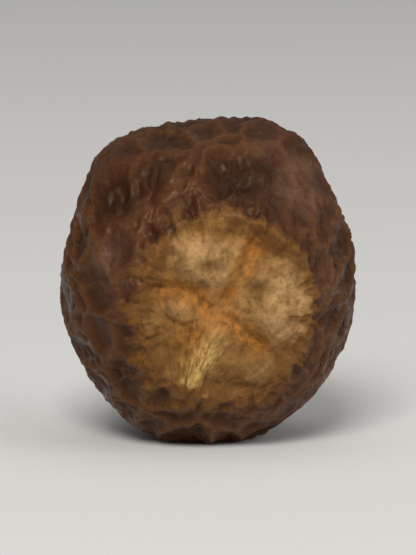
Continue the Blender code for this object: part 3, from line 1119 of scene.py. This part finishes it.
@dataclass(frozen=True)
class SkinFinish:
    """Dark reddish-brown leathery skin, translucent amber where it is thin, with a pale powdery film,
    painted sheen and painted shade.
    """

    # A near-black brown for random dark specks and streaks, and for painted shade in the net's hollows, the
    # dimples and the dark marks.
    hollow: Colour = (0.018, 0.005, 0.001, 1.0)
    brown: Colour = (0.064, 0.023, 0.006, 1.0)
    maroon: Colour = (0.064, 0.017, 0.007, 1.0)
    ridge: Colour = (0.125, 0.050, 0.015, 1.0)
    ochre: Colour = (0.162, 0.068, 0.015, 1.0)
    # The pale tone of the powdery film, also used for the painted sheen.
    bloom_and_sheen: Colour = (0.190, 0.108, 0.070, 1.0)
    sheen_tint: Colour = (1.0, 0.68, 0.46, 1.0)
    coat: float = 0.06
    coat_roughness: float = 0.27
    specular: float = 0.24
    bump: float = 0.055

    def material(self, shared: SharedEffects) -> bpy.types.Material:
        """Builds the skin's material.

        Args:
            shared: The effects that it shares with the scar.

        Returns:
            The material.
        """
        material, graph, shader = open_material("leathery_skin")
        place = graph.millimetres()
        ridge, lip = graph.mask(Mask.RIDGE), graph.mask(Mask.LIP)
        broad = graph.group(shared.mottle, Place=place, Size=6.5, Contrast=1.3).outputs["Mask"]
        small = graph.group(shared.mottle, Place=place, Size=1.6, Contrast=1.1).outputs["Mask"]
        grit = graph.group(shared.grit, Place=place, Size=0.22)

        ground = graph.mix(broad, self.brown, self.maroon)
        ground = graph.mix(graph.span(small, 0.3, 1.0, 0.0, 0.5), ground, self.hollow)
        # Painted shade: the net's hollows darkened towards the near-black brown.
        ground = graph.mix(graph.span(ridge, 0.45, 0.0, 0.0, 0.45), ground, self.hollow)
        ground = graph.mix(graph.span(ridge, 0.3, 0.95, 0.0, 0.6), ground, self.ridge)
        # A random powdery film, plus the pale marks whose front ones are painted sheen, mixed towards the
        # pale tone; the coat is thinner there.
        dust_and_sheen = graph.times(graph.span(broad, 0.4, 0.85), graph.span(small, 0.5, 0.8, 0.0, 0.14))
        patch = graph.times(graph.mask(Mask.DUST_AND_SHEEN), graph.span(small, 0.2, 0.8, 0.28, 0.62))
        dust_and_sheen = graph.math("ADD", dust_and_sheen, graph.times(patch, graph.span(ridge, 0.0, 0.6, 0.6, 1.0)))
        ground = graph.mix(dust_and_sheen, ground, self.bloom_and_sheen)
        # Painted shade in the dimples and at the dark marks.
        ground = graph.mix(graph.times(graph.mask(Mask.SHADE), 0.85), ground, self.hollow)
        streaks = graph.clouds(graph.run(Run.PUCKERS), 0.55, 2.0)
        patchy = graph.vary(graph.vary(lip, small, 0.7), streaks, 0.8)
        ground = graph.mix(graph.span(patchy, 0.15, 0.85), ground, self.ochre)
        creased = graph.times(graph.span(streaks, 0.48, 0.34, 0.0, 0.6), graph.span(lip, 0.1, 0.7))
        ground = graph.mix(creased, ground, self.hollow)
        ground = graph.mix(graph.times(grit.outputs["Low"], 0.6), ground, self.hollow)

        graph.feed(shader.inputs["Base Color"], ground)
        graph.feed(shader.inputs["Roughness"], graph.span(small, 0.2, 0.8, 0.36, 0.54))
        graph.feed(shader.inputs["Coat Weight"], graph.span(dust_and_sheen, 0.0, 0.15, self.coat, self.coat * 0.4))
        shader.inputs["Coat Roughness"].default_value = self.coat_roughness
        shader.inputs["Specular IOR Level"].default_value = self.specular
        shader.inputs["Specular Tint"].default_value = self.sheen_tint
        shader.inputs["Subsurface Weight"].default_value = 0.14
        shader.inputs["Subsurface Radius"].default_value = (1.0, 0.32, 0.12)
        shader.inputs["Subsurface Scale"].default_value = 0.5 * MM
        graph.relief(shader, grit.outputs["Height"], self.bump * MM)
        return material


@dataclass(frozen=True)
class ScarFinish:
    """Tan torn cork: cream lobes, orange grooves, a yellow stalk scar, and brown at the lip."""

    tan: Colour = (0.340, 0.168, 0.046, 1.0)
    brown: Colour = (0.130, 0.056, 0.015, 1.0)
    cream: Colour = (0.520, 0.320, 0.140, 1.0)
    orange: Colour = (0.500, 0.200, 0.034, 1.0)
    yellow: Colour = (0.760, 0.500, 0.165, 1.0)
    olive: Colour = (0.115, 0.060, 0.015, 1.0)
    rim: Colour = (0.150, 0.065, 0.016, 1.0)
    dark: Colour = (0.050, 0.020, 0.006, 1.0)
    bump: float = 0.07

    def material(self, shared: SharedEffects) -> bpy.types.Material:
        """Builds the scar's material.

        Args:
            shared: The effects that it shares with the skin.

        Returns:
            The material.
        """
        material, graph, shader = open_material("corky_scar")
        place = graph.millimetres()
        small = graph.group(shared.mottle, Place=place, Size=1.1, Contrast=1.2).outputs["Mask"]
        tiny = graph.group(shared.mottle, Place=place, Size=0.42, Contrast=1.1).outputs["Mask"]
        grit = graph.group(shared.grit, Place=place, Size=0.16)

        fibres = graph.clouds(graph.run(Run.FIBRES), 0.34, 4.0, 0.6, 0.6)
        lip = graph.mask(Mask.LIP)
        streaks = graph.clouds(graph.run(Run.PUCKERS), 0.5, 3.0)
        patchy = graph.vary(graph.vary(lip, small, 0.9), streaks, 1.5)

        ground = graph.mix(small, self.tan, self.brown)
        cream = graph.times(graph.mask(Mask.CREAM), graph.span(small, 0.75, 0.2, 0.5, 0.95))
        ground = graph.mix(cream, ground, self.cream)
        valley = graph.times(graph.mask(Mask.VALLEY), graph.span(tiny, 0.8, 0.25, 0.45, 0.85))
        ground = graph.mix(valley, ground, self.orange)
        # Painted shade: olive wherever the shade mask is, at the pits and the dark places.
        ground = graph.mix(graph.mask(Mask.SHADE), ground, self.olive)
        stalk = graph.times(graph.mask(Mask.STALK), graph.span(fibres, 0.35, 0.6, 0.35, 1.0))
        ground = graph.mix(stalk, ground, self.yellow)
        ground = graph.mix(graph.span(patchy, 0.25, 0.95), ground, self.rim)
        creased = graph.times(graph.span(streaks, 0.5, 0.32, 0.0, 0.75), graph.span(lip, 0.2, 0.8))
        ground = graph.mix(creased, ground, self.dark)
        ground = graph.mix(graph.times(tiny, 0.4), ground, self.brown)
        ground = graph.mix(graph.span(fibres, 0.5, 0.3, 0.0, 0.45), ground, self.brown)
        ground = graph.mix(graph.span(fibres, 0.56, 0.72, 0.0, 0.15), ground, self.cream)
        ground = graph.mix(graph.times(grit.outputs["Low"], 0.2), ground, self.brown)
        crack = graph.span(graph.cells(place, 0.55), 0.055, 0.0, 0.0, 0.6)
        ground = graph.mix(graph.times(crack, graph.span(tiny, 0.35, 0.65)), ground, self.olive)

        graph.feed(shader.inputs["Base Color"], ground)
        graph.feed(shader.inputs["Roughness"], graph.span(small, 0.2, 0.8, 0.72, 0.9))
        shader.inputs["Specular IOR Level"].default_value = 0.15
        shader.inputs["Subsurface Weight"].default_value = 0.12
        shader.inputs["Subsurface Radius"].default_value = (1.0, 0.5, 0.2)
        shader.inputs["Subsurface Scale"].default_value = 0.4 * MM
        relief = graph.math("ADD", grit.outputs["Height"], graph.times(fibres, 1.5))
        graph.relief(shader, relief, self.bump * MM)
        return material


@dataclass
class Studio:
    """A plain flat pale floor, soft lights and the camera at the photograph's angle."""

    azimuth: float = 0.0
    elevation: float = 8.0
    lens: float = 300.0
    frame_height: float = 33.5 * MM
    sensor: float = 36.0
    floor_half: float = 1.5
    grey: Colour = (0.800, 0.803, 0.810, 1.0)

    def floor(self) -> bpy.types.Object:
        """Models the flat floor, wide enough to fill the view from every side."""
        bpy.ops.object.select_all(action="DESELECT")
        bpy.ops.mesh.primitive_plane_add(size=2.0 * self.floor_half, location=(0.0, 0.0, 0.0))
        floor = bpy.context.active_object
        floor.name = floor.data.name = "pale_floor"
        material, graph, shader = open_material("pale_paper")
        cloud = graph.clouds(graph.millimetres(), 60.0)
        darker = tuple(0.97 * c for c in self.grey[:3]) + (1.0,)
        graph.feed(shader.inputs["Base Color"], graph.mix(cloud, self.grey, darker))
        shader.inputs["Roughness"].default_value = 0.7
        shader.inputs["Specular IOR Level"].default_value = 0.2
        floor.data.materials.append(material)
        floor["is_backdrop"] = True
        return floor

    @staticmethod
    def lamp(
        name: str,
        place: tuple[float, float, float],
        size: float,
        power: float,
        tint: tuple[float, float, float],
    ) -> None:
        """Hangs a square soft light that faces the fruit.

        Args:
            name: The light's name.
            place: Where it hangs, in metres.
            size: Its side, in metres.
            power: Its power, in watts.
            tint: Its colour.
        """
        data = bpy.data.lights.new(name, "AREA")
        data.shape = "SQUARE"
        data.size = size
        data.energy = power
        data.color = tint
        light = bpy.data.objects.new(name, data)
        bpy.context.scene.collection.objects.link(light)
        light.location = place
        light.visible_camera = False
        aim = Vector(place) - Vector((0.0, 0.0, 0.009))
        light.rotation_mode = "QUATERNION"
        light.rotation_quaternion = aim.to_track_quat("Z", "Y")

    def lights(self) -> None:
        """Hangs a broad light above, a soft key at the upper left, and a weak fill at the right."""
        self.lamp("key_light", (-0.09, -0.60, 0.53), 0.30, 5.0, (1.0, 0.97, 0.91))
        self.lamp("top_light", (0.07, 0.15, 0.85), 0.75, 0.95, (1.0, 0.985, 0.95))
        self.lamp("fill_light", (0.60, -0.25, 0.25), 0.50, 1.5, (1.0, 0.98, 0.95))
        world = bpy.data.worlds.new("pale_room")
        bpy.context.scene.world = world
        world.use_nodes = True
        background = world.node_tree.nodes["Background"]
        background.inputs["Color"].default_value = (0.92, 0.90, 0.86, 1.0)
        background.inputs["Strength"].default_value = 0.22

    def camera(self) -> None:
        """Sets the camera at the photograph's viewing angle, with the fruit large in its frame."""
        low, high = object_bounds()
        centre = (low + high) / 2
        a, e = math.radians(self.azimuth), math.radians(self.elevation)
        back = Vector((math.sin(a) * math.cos(e), -math.cos(a) * math.cos(e), math.sin(e)))
        half_view = math.atan(self.sensor / 2 / self.lens)
        data = bpy.data.cameras.new("camera")
        data.lens = self.lens
        data.sensor_width = self.sensor
        data.clip_start = 0.01
        camera = bpy.data.objects.new("camera", data)
        bpy.context.scene.collection.objects.link(camera)
        camera.location = centre + back * (self.frame_height / 2 / math.tan(half_view))
        camera.rotation_mode = "QUATERNION"
        camera.rotation_quaternion = (-back).to_track_quat("-Z", "Y")
        bpy.context.scene.camera = camera

    def build(self) -> None:
        """Sets up the floor, the lights and the camera."""
        self.floor()
        self.lights()
        self.camera()
        bpy.context.scene.view_settings.view_transform = "Standard"


def main() -> None:
    """Builds the fruit and the studio round it."""
    logging.basicConfig(level=logging.INFO, format="%(message)s")
    shared = SharedEffects()
    berry = Soapberry(Body(), Scar(), Skin())
    berry.build(SkinFinish().material(shared), ScarFinish().material(shared))
    Studio().build()


if __name__ == "__main__":
    main()
